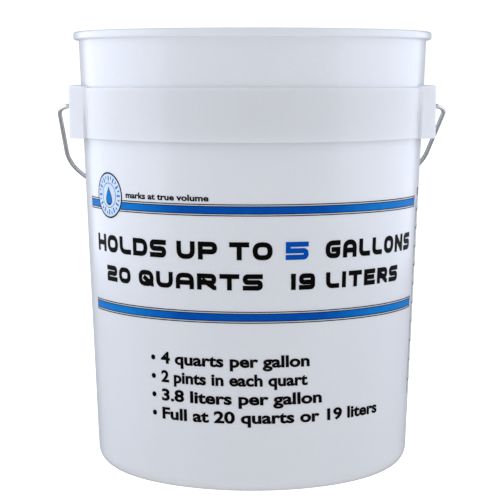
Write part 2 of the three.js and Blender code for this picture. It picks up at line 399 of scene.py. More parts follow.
def make_shell():
    phi = shell_columns()
    rows = shell_rows(phi)
    verts = [(0, 0, GATE_MARK_DEPTH)]
    for radius, z in rows:
        verts += zip(radius * np.cos(phi), radius * np.sin(phi), z)
    verts.append((0, 0, FLOOR_TOP))
    faces = loft_faces(len(rows) + 2, len(phi), first_pole=True, last_pole=True)
    shell = make_object("pail_shell", verts, faces)
    free_angle_sine = RIB_FREE_SPAN / SKIRT_OUTER_BOTTOM
    angles = [TAU * (i + 0.5) / SKIRT_RIBS for i in range(SKIRT_RIBS)]
    ribs = [make_rib(a) for a in angles if abs(math.sin(a)) >= free_angle_sine]
    boolean(shell, ribs, "UNION")
    boolean(shell, [make_drill(1), make_drill(-1)], "DIFFERENCE")
    smooth(shell.data)
    return shell


# ---- bail ----------------------------------------------------------------

BAIL_REACH = math.hypot(GRIP_CENTRE.y, PIVOT_Z - GRIP_CENTRE.z)
HANG = math.atan2(GRIP_CENTRE.y, PIVOT_Z - GRIP_CENTRE.z)
BAIL_SKEW = -GRIP_CENTRE.x / BAIL_REACH
BAIL_HALF_WIDTH = 165.58
HOOK_X = 148.7
HOOK_LENGTH = 5.5
STRAIGHT_STEP = 12
WIRE_SIDES = 20
WIRE_SHARP_ANGLE = 40
# Each end of the wire is rounded off by one smaller ring that stands out a little.
WIRE_END_SCALE = 0.80
WIRE_END_LENGTH = 0.35
# Each bend of the wire, from the grip outwards: radius, heading at its end, steps.
BENDS = [(8, 25.2, 6), (214, 58, 24), (78, 86.3, 12), (10.5, 180, 14), (3, 270, 12)]


def across(radius, start, end):
    """How far a bend goes sideways, between two headings."""
    return radius * (sine(end) - sine(start))


def towards(radius, start, end):
    """How far a bend goes towards the pivots, between two headings."""
    return radius * (cosine(start) - cosine(end))


def half_route():
    """Half of the bail: (x, distance from the pivot, heading) from the grip to the hook."""
    starts = [0] + [heading for _, heading, _ in BENDS[:-1]]
    spans = [(radius, a, b) for (radius, b, _), a in zip(BENDS, starts)]
    lean = BENDS[2][1]
    eye, hook = BENDS[3][0], BENDS[4][0]
    leg = (BAIL_REACH - sum(towards(*span) for span in spans[:4])) / sine(lean)
    widest = leg * cosine(lean) + eye * (1 - sine(lean))
    straight = BAIL_HALF_WIDTH - widest - sum(across(*span) for span in spans[:3])
    runs = [0, 0, leg, BAIL_HALF_WIDTH - eye - hook - HOOK_X, HOOK_LENGTH]
    route = [(straight, BAIL_REACH, 0.0)]
    for (radius, heading, steps), start, run in zip(BENDS, starts, runs):
        x, s, _ = route[-1]
        for a in np.linspace(start, heading, steps + 1)[1:]:
            route.append((x + across(radius, start, a), s - towards(radius, start, a), a))
        x, s, _ = route[-1]
        pieces = max(1, round(run / STRAIGHT_STEP))
        for d in np.linspace(0, run, pieces + 1)[1:]:
            route.append((x + d * cosine(heading), s - d * sine(heading), heading))
    return route


def in_bail_plane(x, s):
    """A point of the hanging bail, s from the pivots' line and x to the right."""
    return Vector((x - BAIL_SKEW * s, s * math.sin(HANG), PIVOT_Z - s * math.cos(HANG)))


def wire_rings():
    """The wire's cross-sections from hook to hook: (centre, tangent, scale)."""
    half = half_route()
    straight = half[0][0]
    route = [(-x, s, -a) for x, s, a in reversed(half)]
    route += [(x, BAIL_REACH, 0.0) for x in np.linspace(-straight, straight, 10)[1:-1]]
    route += half
    rings = []
    for x, s, heading in route:
        ahead = in_bail_plane(cosine(heading), -sine(heading))
        tangent = (ahead - in_bail_plane(0, 0)).normalized()
        rings.append((in_bail_plane(x, s), tangent, 1.0))
    (first, first_way, _), (last, last_way, _) = rings[0], rings[-1]
    rings.insert(0, (first - WIRE_END_LENGTH * first_way, first_way, WIRE_END_SCALE))
    rings.append((last + WIRE_END_LENGTH * last_way, last_way, WIRE_END_SCALE))
    return rings


def make_bail():
    rings = wire_rings()
    sides = WIRE_SIDES
    normal = Vector((0, math.cos(HANG), math.sin(HANG)))
    verts = []
    for centre, tangent, scale in rings:
        side = tangent.cross(normal).normalized()
        for i in range(sides):
            t = TAU * i / sides
            spoke = math.cos(t) * side + math.sin(t) * normal
            verts.append(centre + scale * WIRE_RADIUS * spoke)
    faces = [tuple(range(sides))[::-1]]
    faces += [tuple(face[::-1]) for face in loft_faces(len(rings), sides)]
    faces.append(tuple(range(len(verts) - sides, len(verts))))
    bail = make_object("bail", verts, faces, WIRE_SHARP_ANGLE)
    gaps = [(b[0] - a[0]).length for a, b in zip(rings, rings[1:])]
    map_along_wire(bail.data, np.cumsum([0.0] + gaps))
    return bail


def map_along_wire(mesh, lengths):
    """Texture places in metres along the wire and turns round it."""
    layer = mesh.uv_layers.new(name="along_wire")
    for polygon in mesh.polygons:
        around = [vertex % WIRE_SIDES for vertex in polygon.vertices]
        wraps = max(around) - min(around) > WIRE_SIDES / 2
        for loop, vertex in zip(polygon.loop_indices, polygon.vertices):
            ring, i = divmod(vertex, WIRE_SIDES)
            turn = i + (WIRE_SIDES if wraps and i < WIRE_SIDES / 2 else 0)
            layer.data[loop].uv = (lengths[ring] * MM, turn / WIRE_SIDES)


# ---- grip ----------------------------------------------------------------

GRIP_BORE_RADIUS = 2.6
GRIP_FLANGE_RADIUS = 15.5
GRIP_CREST_RADIUS = 14.0
GRIP_END_RADIUS = 13.0
GRIP_FLANGE_WIDTH = 3.0
GRIP_OUTER_ROUND = 1.2
GRIP_INNER_ROUND = 0.9
GRIP_SIDES = 96
GRIP_STEPS = 64
FINGER_SWELLS = 4
FINGER_DEPTH = 0.9
SEAM_HEIGHT = 0.10
SEAM_WIDTH = 0.035


def make_grip():
    """A moulded sleeve with finger swells, rounded flanges and a fine parting line."""
    half = GRIP_LENGTH / 2
    shoulder = half - GRIP_FLANGE_WIDTH
    bore, outer, inner = GRIP_BORE_RADIUS, GRIP_OUTER_ROUND, GRIP_INNER_ROUND
    end = [(bore, -half + 6), (bore, -half + 1.0), (bore + 0.9, -half)]
    end += [(6.5, -half), (7.1, -half + 0.5), (10.9, -half + 0.5), (11.5, -half)]
    end += arc(GRIP_FLANGE_RADIUS - outer, -half + outer, outer, -90, 0, 5)
    end += arc(GRIP_FLANGE_RADIUS - inner, -shoulder - inner, inner, 0, 90, 4)
    profile = [(r, z, 0) for r, z in end]
    for t in np.linspace(-1, 1, GRIP_STEPS + 1):
        body = GRIP_CREST_RADIUS - (GRIP_CREST_RADIUS - GRIP_END_RADIUS) * t * t
        swell = 0.5 - 0.5 * math.cos(FINGER_SWELLS * math.pi * (t + 1))
        profile.append((body + FINGER_DEPTH * (swell - 1), (shoulder - 0.8) * t, SEAM_HEIGHT))
    profile += [(r, -z, 0) for r, z in reversed(end)]
    phi = np.linspace(0, TAU, GRIP_SIDES, endpoint=False)
    seam = np.exp(-((np.abs(np.sin(phi)) / SEAM_WIDTH) ** 2))
    verts = []
    for r, x, seam_height in profile:
        for a, radius in zip(phi, r + seam_height * seam):
            verts.append(GRIP_CENTRE + Vector((x, radius * math.cos(a), radius * math.sin(a))))
    faces = loft_faces(len(profile), GRIP_SIDES, closed=True)
    return make_object("grip_sleeve", verts, faces)


# ---- printing ------------------------------------------------------------

INK_THICKNESS = 0.07
INK_LIFT = 0.02
INK_SHARP_ANGLE = 50
PRINT_TURN = deg(4.4)
WRAP_STEP = 2.4


def on_wall(phi, z, lift):
    """A point on the pail's outer wall. phi is 0 at the front and grows to the right."""
    azimuth = phi + PRINT_TURN - math.pi / 2
    radius = wall_radius(z) + ripple(azimuth % TAU, z) + lift
    return (radius * math.cos(azimuth), radius * math.sin(azimuth), z)


def wrap_flat(bm, phi, z):
    """Bends a flat drawing (x across, y up, z as ink height) round the wall."""
    xs = [v.co.x for v in bm.verts]
    for x in np.arange(min(xs), max(xs), WRAP_STEP)[1:]:
        geometry = bm.verts[:] + bm.edges[:] + bm.faces[:]
        bmesh.ops.bisect_plane(bm, geom=geometry, plane_co=(x, 0, 0), plane_no=(1, 0, 0))
    for v in bm.verts:
        height = z + v.co.y
        v.co = Vector(on_wall(phi + v.co.x / wall_radius(height), height, v.co.z))


def flat_text(body, weight):
    """A solid line of plain lettering, with its baseline at y = 0, as a bmesh."""
    curve = bpy.data.curves.new("lettering", "FONT")
    curve.body = body
    curve.resolution_u = 4
    curve.offset = weight
    curve.extrude = 0.5
    holder = link_object("lettering", curve)
    bpy.context.view_layer.update()
    graph = bpy.context.evaluated_depsgraph_get()
    mesh = bpy.data.meshes.new_from_object(holder.evaluated_get(graph))
    bm = bmesh.new()
    bm.from_mesh(mesh)
    bpy.data.objects.remove(holder)
    bpy.data.curves.remove(curve)
    bpy.data.meshes.remove(mesh)
    bmesh.ops.remove_doubles(bm, verts=bm.verts[:], dist=1e-5)
    return bm


def cap_height():
    """Height of a capital in the plain lettering's own units."""
    bm = flat_text("H", 0.0)
    top = max(v.co.y for v in bm.verts)
    bm.free()
    return top


def add_text(target, body, phi, z, cap, weight, width=None):
    """Letters a line on the wall, from the azimuth of its left end. A width stretches it."""
    bm = flat_text(body, weight)
    left = min(v.co.x for v in bm.verts)
    right = max(v.co.x for v in bm.verts)
    scale_y = cap / cap_height()
    scale_x = width / (right - left) if width else scale_y
    for v in bm.verts:
        height = INK_LIFT + INK_THICKNESS * (v.co.z + 0.5)
        v.co = Vector(((v.co.x - left) * scale_x, v.co.y * scale_y, height))
    wrap_flat(bm, phi, z)
    target.append(mesh_from_bmesh("text", bm))


def add_shape(target, outline, phi, z, lift=INK_LIFT, holes=()):
    """A flat outline with holes, given a thickness and wrapped on the wall."""
    bm = bmesh.new()
    for loop in (outline, *holes):
        verts = [bm.verts.new((x, y, lift)) for x, y in loop]
        for a, b in zip(verts, verts[1:] + verts[:1]):
            bm.edges.new((a, b))
    edges = bm.edges[:]
    bmesh.ops.triangle_fill(bm, use_beauty=True, use_dissolve=False, edges=edges, normal=(0, 0, 1))
    for face in bm.faces:
        face.normal_update()
        if face.normal.z > 0:
            face.normal_flip()
    result = bmesh.ops.extrude_face_region(bm, geom=bm.faces[:])
    for item in result["geom"]:
        if isinstance(item, bmesh.types.BMVert):
            item.co.z = lift + INK_THICKNESS
    bmesh.ops.recalc_face_normals(bm, faces=bm.faces[:])
    wrap_flat(bm, phi, z)
    target.append(mesh_from_bmesh("shape", bm))


def add_band(target, left, right, low, high, lift=INK_LIFT):
    """A rectangle of ink between two azimuths and two heights."""
    width = (right - left) * wall_radius((low + high) / 2)
    outline = [(0, 0), (width, 0), (width, high - low), (0, high - low)]
    add_shape(target, outline, left, low, lift)


def print_object(name, parts):
    """Joins the wrapped parts, which are still in millimetres, into one piece."""
    bm = bmesh.new()
    for mesh in parts:
        bm.from_mesh(mesh)
        bpy.data.meshes.remove(mesh)
    bmesh.ops.scale(bm, vec=(MM, MM, MM), verts=bm.verts[:])
    mesh = mesh_from_bmesh(name, bm)
    smooth(mesh, INK_SHARP_ANGLE)
    return link_object(name, mesh)


def circle(radius, steps):
    turns = [TAU * i / steps for i in range(steps)]
    return [(radius * math.cos(a), radius * math.sin(a)) for a in turns]


# Two stripes, each a blue band in a black frame with a thin line above and below.
# The spans are azimuths in degrees, from the left end to the right.
STRIPES = [(227.7, -74.0, 67.6), (143.1, -72.8, 67.9)]
BAND_HALF = 3.2
EDGE_LINE = 0.65
LINE_GAP = 0.75
OUTER_LINE = 0.75
END_LIFT = INK_LIFT + 0.01


def make_stripes():
    blue, black = [], []
    inside, outside = BAND_HALF - EDGE_LINE, BAND_HALF + LINE_GAP
    for z, start, end in STRIPES:
        left, right = deg(start), deg(end)
        edge = EDGE_LINE / wall_radius(z)
        add_band(blue, left + edge, right - edge, z - BAND_HALF + EDGE_LINE, z + inside)
        for side in (-1, 1):
            for near, far in ((inside, BAND_HALF), (outside, outside + OUTER_LINE)):
                low, high = sorted((side * near, side * far))
                add_band(black, left, right, z + low, z + high)
        for a, b in ((left, left + edge), (right - edge, right)):
            add_band(black, a, b, z - outside, z + outside, END_LIFT)
    return blue, black


# Squared capitals for the heading. Each glyph has a width, in letter widths, and strokes
# on a unit square; a corner marked 1 is rounded, and a stroke named "loop" is closed.
LEFT_STEM = ["line", (0, 0, 0), (0, 1, 0)]
RIGHT_STEM = ["line", (1, 0, 0), (1, 1, 0)]
TOP_BAR = ["line", (0, 1, 0), (1, 1, 0)]
RING = ["loop", (0, 0, 1), (1, 0, 1), (1, 1, 1), (0, 1, 1)]
BOWL = ["line", (0, 1, 0), (1, 1, 1), (1, 0.42, 1), (0, 0.42, 0)]
GLYPHS = {
    "A": (1.0, ["line", (0, 0, 0), (0, 1, 1), (1, 1, 1), (1, 0, 0)], ["line", (0, 0.36, 0), (1, 0.36, 0)]),
    "D": (1.0, ["loop", (0, 0, 0), (1, 0, 1), (1, 1, 1), (0, 1, 0)]),
    "E": (0.95, ["line", (1, 1, 0), (0, 1, 0), (0, 0, 0), (1, 0, 0)], ["line", (0, 0.5, 0), (0.88, 0.5, 0)]),
    "G": (1.0, ["line", (1, 1, 0), (0, 1, 1), (0, 0, 1), (1, 0, 1), (1, 0.48, 0), (0.56, 0.48, 0)]),
    "H": (1.0, LEFT_STEM, RIGHT_STEM, ["line", (0, 0.5, 0), (1, 0.5, 0)]),
    "I": (0.0, LEFT_STEM),
    "L": (0.9, ["line", (0, 1, 0), (0, 0, 1), (1, 0, 0)]),
    "N": (1.0, LEFT_STEM, RIGHT_STEM, ["line", (0, 1, 0), (1, 0, 0)]),
    "O": (1.0, RING),
    "P": (1.0, LEFT_STEM, BOWL),
    "Q": (1.0, RING, ["line", (0.62, 0.34, 0), (1, 0, 0)]),
    "R": (1.0, LEFT_STEM, BOWL, ["line", (0.5, 0.42, 0), (1, 0, 0)]),
    "S": (1.0, ["line", (1, 1, 0), (0, 1, 1), (0, 0.5, 1), (1, 0.5, 1), (1, 0, 1), (0, 0, 0)]),
    "T": (1.0, TOP_BAR, ["line", (0.5, 0, 0), (0.5, 1, 0)]),
    "U": (1.0, ["line", (0, 1, 0), (0, 0, 1), (1, 0, 1), (1, 1, 0)]),
    "0": (0.95, RING),
    "1": (0.3, TOP_BAR, RIGHT_STEM),
    "2": (1.0, ["line", (0, 1, 0), (1, 1, 1), (1, 0.5, 1), (0, 0.5, 1), (0, 0, 0), (1, 0, 0)]),
    "5": (1.0, ["line", (1, 1, 0), (0, 1, 0), (0, 0.5, 0), (1, 0.5, 1), (1, 0, 1), (0, 0, 0)]),
    "9": (
        1.0,
        ["loop", (0, 0.45, 1), (1, 0.45, 0), (1, 1, 1), (0, 1, 1)],
        ["line", (1, 0.5, 0), (1, 0, 1), (0, 0, 0)],
    ),
}
LETTER_GAP = 2.6
WORD_GAP = 9.5
CORNER_PENS = 1.25
STROKE_LIFT = 0.006
TINY = 1e-9


def rounded(points, closed, radius):
    """A polyline with its marked corners turned into arcs."""
    count = len(points)
    result = []
    for i, (x, y, soft) in enumerate(points):
        here = np.array((x, y))
        if not soft or (not closed and i in (0, count - 1)):
            result.append(here)
            continue
        back = np.array(points[i - 1][:2]) - here
        ahead = np.array(points[(i + 1) % count][:2]) - here
        reach = min(radius, 0.49 * np.hypot(*back), 0.49 * np.hypot(*ahead))
        start = here + back / np.hypot(*back) * reach
        end = here + ahead / np.hypot(*ahead) * reach
        result += [bend(start, here, end, t) for t in np.linspace(0, 1, 6)]
    return result


def offset(points, closed, distance):
    """The polyline moved sideways, with mitred corners."""
    count = len(points)
    moved = []
    for i, here in enumerate(points):
        before = points[i - 1] if closed or i else None
        after = points[(i + 1) % count] if closed or i < count - 1 else None
        normals = []
        for a, b in ((before, here), (here, after)):
            if a is not None and b is not None:
                d = (b - a) / np.hypot(*(b - a))
                normals.append(np.array((-d[1], d[0])))
        total = sum(normals)
        moved.append(here + total * distance * len(normals) / np.dot(total, total))
    return moved


def clip(points, axis, limit, sign):
    """The part of an outline on one side of an upright or level line."""
    kept = []
    for a, b in zip(points, points[1:] + points[:1]):
        da, db = sign * (a[axis] - limit), sign * (b[axis] - limit)
        if da >= -TINY:
            kept.append(a)
        if (da > TINY and db < -TINY) or (da < -TINY and db > TINY):
            kept.append(a + (b - a) * da / (da - db))
    return kept


def stroke_outlines(stroke, width, cap, pen):
    """The outline of one stroke of a glyph, and its hole where it is a loop."""
    kind, *marks = stroke
    span_x, span_y = width - pen, cap - pen
    scaled = [(pen / 2 + x * span_x, pen / 2 + y * span_y, soft) for x, y, soft in marks]
    closed = kind == "loop"
    path = rounded(scaled, closed, CORNER_PENS * pen)
    if closed:
        return offset(path, True, -pen / 2), [offset(path, True, pen / 2)]
    # An open stroke is drawn too long and trimmed to the letter's box, so that a slanted
    # one ends level.
    for end, inner in ((0, 1), (-1, -2)):
        d = path[end] - path[inner]
        slanted = abs(d[0]) > 1e-6 and abs(d[1]) > 1e-6
        path[end] = path[end] + d / np.hypot(*d) * pen * (1.2 if slanted else 0.5)
    outline = offset(path, False, pen / 2) + offset(path, False, -pen / 2)[::-1]
    for axis, limit, sign in ((0, 0, 1), (0, width, -1), (1, 0, 1), (1, cap, -1)):
        outline = clip(outline, axis, limit, sign)
    return outline, []


def add_capitals(target, body, left, right, z, cap, pen):
    """A line of squared capitals that fills the span between two azimuths, in degrees."""
    radius = wall_radius(z + cap / 2)
    room = deg(right - left) * radius
    widths = [GLYPHS[c][0] for c in body if c != " "]
    spaces = body.count(" ")
    gaps = LETTER_GAP * (len(widths) - 1 - spaces) + WORD_GAP * spaces
    unit = (room - gaps - pen * widths.count(0.0)) / sum(widths)
    x = 0.0
    for c in body:
        if c == " ":
            x += WORD_GAP - LETTER_GAP
            continue
        share, *strokes = GLYPHS[c]
        width = max(pen, share * unit)
        for k, stroke in enumerate(strokes):
            outline, holes = stroke_outlines(stroke, width, cap, pen)
            lift = INK_LIFT + STROKE_LIFT * k
            add_shape(target, outline, deg(left) + x / radius, z, lift, holes)
        x += width + LETTER_GAP


def make_heading(blue, black):
    """Two lines of capitals: ink, words, and the azimuths of their ends in degrees."""
    upper = [
        (black, "HOLDS UP TO", -69.0, 2.0),
        (blue, "5", 6.2, 13.8),
        (black, "GALLONS", 19.7, 63.0),
    ]
    lower = [
        (black, "20 QUARTS", -62.7, -1.1),
        (black, "19 LITERS", 8.0, 53.6),
    ]
    for words, z, cap, pen in ((upper, 188.6, 14.2, 4.0), (lower, 164.7, 12.9, 3.8)):
        for target, body, left, right in words:
            add_capitals(target, body, left, right, z, cap, pen)


def add_line(target, body, left, right, z, cap, weight):
    """A line of plain lettering between two azimuths, in degrees."""
    width = (deg(right) - deg(left)) * wall_radius(z)
    add_text(target, body, deg(left), z, cap, weight, width)


def make_list(black):
    """Four lines of facts, each after a round bullet."""
    lines = [
        ("4 quarts per gallon", 14.9),
        ("2 pints in each quart", 14.3),
        ("3.8 liters per gallon", 19.6),
        ("Full at 20 quarts or 19 liters", 44.3),
    ]
    first, pitch, cap = 103.5, 15.1, 8.8
    left, bullet_place, bullet_radius, bullet_height = -36.7, -39.9, 2.1, 3.9
    for i, (body, right) in enumerate(lines):
        z = first - pitch * i
        add_line(black, body, left, right, z, cap, 0.036)
        add_shape(black, circle(bullet_radius, 24), deg(bullet_place), z + bullet_height)


def make_small_line(black):
    add_line(black, "marks at true volume", -49.9, -18.3, 234.6, 4.6, 0.034)


def make_badge(blue, black, pale):
    """A round badge: a pale ground, two rings, a ring of tick marks and a drop."""
    phi, z = deg(-59.3), 235.3
    ground_lift, lift, drop_lift = 0.05, 0.06, 0.08
    add_shape(pale, circle(18.0, 96), phi, z, ground_lift)
    for outer, inner, steps in ((18.7, 17.4, 96), (10.2, 9.7, 72)):
        add_shape(black, circle(outer, steps), phi, z, lift, [circle(inner, steps)])
    ticks = 24
    tick_end = 15.8
    for i in range(ticks):
        a = TAU * i / ticks
        start, half, target = (13.4, 0.45, black) if i % 2 else (11.6, 0.8, blue)
        corners = [(start, -half), (tick_end, -half), (tick_end, half), (start, half)]
        c, s = math.cos(a), math.sin(a)
        add_shape(target, [(x * c - y * s, x * s + y * c) for x, y in corners], phi, z, lift)
    drop = []
    for a in (TAU * i / 40 for i in range(40)):
        drop.append((5.5 * math.sin(a) * math.sin(a / 2) ** 1.5, 6.6 * math.cos(a) - 0.4))
    add_shape(black, [(1.22 * x, 1.16 * y) for x, y in drop], phi, z, lift)
    add_shape(blue, drop, phi, z, drop_lift)


def volume_heights():
    """Height of the liquid for a volume in litres, from the inside of the pail."""
    step = 0.25
    z = np.arange(FLOOR_TOP, HEIGHT, step)
    corner_r = WALL_FOOT_RADIUS - CORNER_RADIUS
    inner = CORNER_RADIUS - WALL
    below = np.clip(CORNER_RADIUS - z, 0, inner)
    in_corner = corner_r + np.sqrt(inner ** 2 - below ** 2)
    radius = np.where(z < CORNER_RADIUS, in_corner, wall_radius(z) - WALL)
    litres = np.cumsum(math.pi * radius ** 2 * step) * 1e-6
    return lambda volume: float(np.interp(volume, litres, z))


GALLON = 3.785
QUART = 0.946
SCALE_LOW, SCALE_HIGH = 63.0, 229.0
SPINE_WIDTH = 0.9
SCALE_WEIGHT = 0.02


def make_scale(black):
    """Three columns of volume marks, at the heights where the pail holds those volumes."""
    level = volume_heights()
    spine = SPINE_WIDTH / wall_radius(150)
    # Each column: title, azimuth, litres from mark to mark, marks for each number.
    columns = [("QT", 71.0, QUART, 1), ("GAL", 88.2, GALLON / 4, 4), ("L", 105.4, 0.5, 2)]
    for title, azimuth, step, marks_per_number in columns:
        phi = deg(azimuth)
        add_band(black, phi, phi + spine, SCALE_LOW, SCALE_HIGH)
        for k in range(1, 60):
            z = level(step * k)
            if z < SCALE_LOW or z > SCALE_HIGH:
                continue
            numbered = k % marks_per_number == 0
            length, half = (9.0, 0.45) if numbered else (5.0, 0.3)
            add_band(black, phi + spine, phi + spine + length / wall_radius(z), z - half, z + half)
            if numbered:
                number = str(k // marks_per_number)
                add_text(black, number, phi + 11.5 / wall_radius(z), z - 2.3, 4.6, SCALE_WEIGHT)
        title_phi = phi + 1.0 / wall_radius(SCALE_HIGH)
        add_text(black, title, title_phi, SCALE_HIGH + 3.5, 5.6, SCALE_WEIGHT)


# ---- materials -----------------------------------------------------------


class Nodes:
    """Short calls for one node tree."""

    def __init__(self, tree):
        self.tree = tree

    def add(self, kind, inputs=None, **settings):
        node = self.tree.nodes.new(kind)
        for key, value in settings.items():
            setattr(node, key, value)
        for key, value in (inputs or {}).items():
            self.set(node.inputs[key], value)
        return node

    def set(self, socket, value):
        if isinstance(value, bpy.types.NodeSocket):
            self.tree.links.new(value, socket)
        else:
            socket.default_value = value

    def place(self, kind="Object"):
        return self.add("ShaderNodeTexCoord").outputs[kind]

    def calculate(self, operation, *values):
        return self.add("ShaderNodeMath", dict(enumerate(values)), operation=operation).outputs[0]

    def noise(self, vector, scale, detail=3.0, roughness=0.5, stretch=None):
        if stretch:
            mapping = self.add("ShaderNodeMapping", {"Vector": vector, "Scale": stretch})
            vector = mapping.outputs["Vector"]
        inputs = {"Vector": vector, "Scale": scale, "Detail": detail, "Roughness": roughness}
        return self.add("ShaderNodeTexNoise", inputs).outputs["Fac"]

    def ramp(self, value, low, high, start=0.3, end=0.7, kind="LINEAR"):
        """Goes from low to high as the value goes from start to end."""
        inputs = {"Value": value, "From Min": start, "From Max": end, "To Min": low, "To Max": high}
        return self.add("ShaderNodeMapRange", inputs, interpolation_type=kind).outputs["Result"]

    def mix(self, factor, a, b):
        node = self.add("ShaderNodeMix", data_type="RGBA")
        for socket, value in ((node.inputs["Factor"], factor), (node.inputs[6], a), (node.inputs[7], b)):
            self.set(socket, value)
        return node.outputs[2]

    def bump(self, height, strength, distance, normal=None):
        inputs = {"Height": height, "Strength": strength, "Distance": distance}
        if normal is not None:
            inputs["Normal"] = normal
        return self.add("ShaderNodeBump", inputs).outputs["Normal"]


class Surface(Nodes):
    """The nodes of a new material, with its Principled shader."""

    def __init__(self, name):
        self.material = bpy.data.materials.new(name)
        self.material.use_nodes = True
        super().__init__(self.material.node_tree)
        self.shader = self.tree.nodes["Principled BSDF"]

    def out(self, **values):
        for key, value in values.items():
            self.set(self.shader.inputs[key.replace("_", " ")], value)


def pail_plastic():
    n = Surface("pail_plastic")
    at = n.place()
    cloud = n.noise(at, 9.0, 4.0, 0.55)
    grain = n.noise(at, 420.0, 2.0)
    base = n.mix(n.ramp(cloud, 0.0, 1.0), (0.800, 0.822, 0.872, 1), (0.832, 0.850, 0.894, 1))
    speck = n.mix(n.ramp(grain, 0.0, 0.35), base, (0.775, 0.795, 0.842, 1))
    drag = n.noise(at, 60.0, 3.0, stretch=(6.0, 6.0, 0.35))
    rough = n.ramp(drag, 0.18, 0.26)
    peel = n.noise(at, 700.0, 2.0)
    normal = n.bump(peel, 0.18, 0.00012)
    normal = n.bump(n.noise(at, 26.0, 2.0), 0.25, 0.0004, normal)
    n.out(Base_Color=speck, Roughness=rough, Normal=normal, IOR=1.52)
    n.out(Subsurface_Weight=0.5, Subsurface_Scale=0.005, Subsurface_Radius=(1.0, 1.0, 1.0))
    return n.material


def ink(name, dark, light, roughness, painted_sheen_dark=None, painted_sheen_light=None):
    """A matt printing ink; lighter end colours take over towards the sides of the print, as a painted
    reflection of the side lights.
    """
    n = Surface(name)
    at = n.place()
    patch = n.ramp(n.noise(at, 160.0, 4.0, 0.6), 0.0, 1.0)
    colour = n.mix(patch, dark, light)
    if painted_sheen_dark:
        # Painted reflection: the ink is lightened towards the sides of the print, where the side lights
        # would shine off it.
        apart = n.add("ShaderNodeSeparateXYZ", {"Vector": at})
        reach = n.add("ShaderNodeMath", {0: apart.outputs["X"]}, operation="ABSOLUTE")
        painted_sheen_fade = n.ramp(reach.outputs[0], 0.0, 1.0, 0.055, 0.098)
        colour = n.mix(painted_sheen_fade, colour, n.mix(patch, painted_sheen_dark, painted_sheen_light))
    n.out(Base_Color=colour, Roughness=n.ramp(n.noise(at, 90.0), roughness - 0.05, roughness + 0.07))
    n.out(Normal=n.bump(n.noise(at, 1500.0, 2.0), 0.15, 0.00006), IOR=1.48, Specular_IOR_Level=0.03)
    return n.material


def bail_steel():
    n = Surface("bail_steel")
    along = n.place("UV")
    draw = n.noise(along, 12.0, 4.0, 0.6, stretch=(3.0, 14.0, 1.0))
    spangle = n.noise(n.place(), 230.0, 3.0, 0.6)
    colour = n.mix(n.ramp(spangle, 0.0, 1.0), (0.54, 0.55, 0.57, 1), (0.70, 0.71, 0.73, 1))
    colour = n.mix(n.ramp(draw, 0.0, 0.5, 0.45, 0.75), colour, (0.45, 0.46, 0.47, 1))
    n.out(Base_Color=colour, Metallic=1.0, Roughness=n.ramp(draw, 0.10, 0.24))
    n.out(Normal=n.bump(draw, 0.35, 0.00008))
    return n.material


def grip_plastic():
    n = Surface("grip_plastic")
    at = n.place()
    base = n.mix(n.ramp(n.noise(at, 30.0, 4.0), 0.0, 1.0), (0.80, 0.80, 0.79, 1), (0.86, 0.86, 0.85, 1))
    n.out(Base_Color=base, Roughness=n.ramp(n.noise(at, 120.0, 3.0), 0.36, 0.52))
    n.out(Normal=n.bump(n.noise(at, 900.0, 2.0), 0.3, 0.0001), IOR=1.50)
    n.out(Subsurface_Weight=0.1, Subsurface_Scale=0.003, Subsurface_Radius=(1.0, 1.0, 1.0))
    return n.material


def pale_ink():
    n = Surface("print_pale")
    at = n.place()
    colour = n.mix(n.ramp(n.noise(at, 120.0, 3.0), 0.0, 1.0), (0.56, 0.70, 0.92, 1), (0.66, 0.78, 0.94, 1))
    n.out(Base_Color=colour, Roughness=n.ramp(n.noise(at, 90.0), 0.34, 0.46))
    n.out(Normal=n.bump(n.noise(at, 1500.0, 2.0), 0.15, 0.00006), IOR=1.48)
    return n.material


# ---- camera and studio ---------------------------------------------------

CAMERA_DISTANCE = 1.401
CAMERA_HEIGHT = 0.9 * shell_high.z
CAMERA_PITCH = deg(6.1)
CAMERA_LEFT = 0.002
LENS = 117.2

FLOOR_HALF = 20
FLOOR_GLOW = 0.85
BACKDROP_RADIUS = 18
BACKDROP_GLOW = 1.05
WHITE = (1, 1, 1, 1)

# The softboxes, in metres and degrees from the front.
SOFTBOX_AZIMUTH = 96
SOFTBOX_DISTANCE = 0.8
SOFTBOX_LOW, SOFTBOX_HIGH = 0.05, 1.25
SOFTBOX_WIDTH = 1.4
SOFTBOX_COLOUR = (0.80, 0.862, 1.0)

# The sky's light by direction: from the front, from the sides and from the gap behind.
SKY_COLOUR = (0.990, 1.0, 1.023, 1)
FRONT_LIGHT = 0.69
SIDE_LIGHT = 0.40
GAP_LIGHT = 0.22
SIDE_FROM, SIDE_BLUR = deg(62), deg(7)
GAP_FROM, GAP_BLUR = deg(147), deg(2.5)
FLOOR_BOUNCE = 0.5
OVERHEAD = 0.8
OVERHEAD_FROM, OVERHEAD_TO = 0.60, 0.85


def add_camera():
    data = bpy.data.cameras.new("camera")
    data.lens = LENS
    data.sensor_width = 36
    data.clip_end = 200
    data.dof.use_dof = False
    camera = link_object("camera", data)
    camera.location = (-CAMERA_LEFT, -CAMERA_DISTANCE, CAMERA_HEIGHT)
    camera.rotation_euler = (math.pi / 2 - CAMERA_PITCH, 0, 0)
    bpy.context.scene.camera = camera


def add_softbox(name, azimuth, radiance):
    """A large upright light that faces the pail. The azimuth is 0 at the front, in degrees."""
    data = bpy.data.lights.new(name, "AREA")
    data.shape = "RECTANGLE"
    data.size, data.size_y = SOFTBOX_WIDTH, SOFTBOX_HIGH - SOFTBOX_LOW
    data.energy = math.pi * radiance * data.size * data.size_y
    data.color = SOFTBOX_COLOUR
    light = link_object(name, data)
    a = deg(azimuth) - math.pi / 2
    middle = (SOFTBOX_LOW + SOFTBOX_HIGH) / 2
    light.location = (SOFTBOX_DISTANCE * math.cos(a), SOFTBOX_DISTANCE * math.sin(a), middle)
    light.rotation_euler = (math.pi / 2, 0, a + math.pi / 2)
    light.visible_camera = False


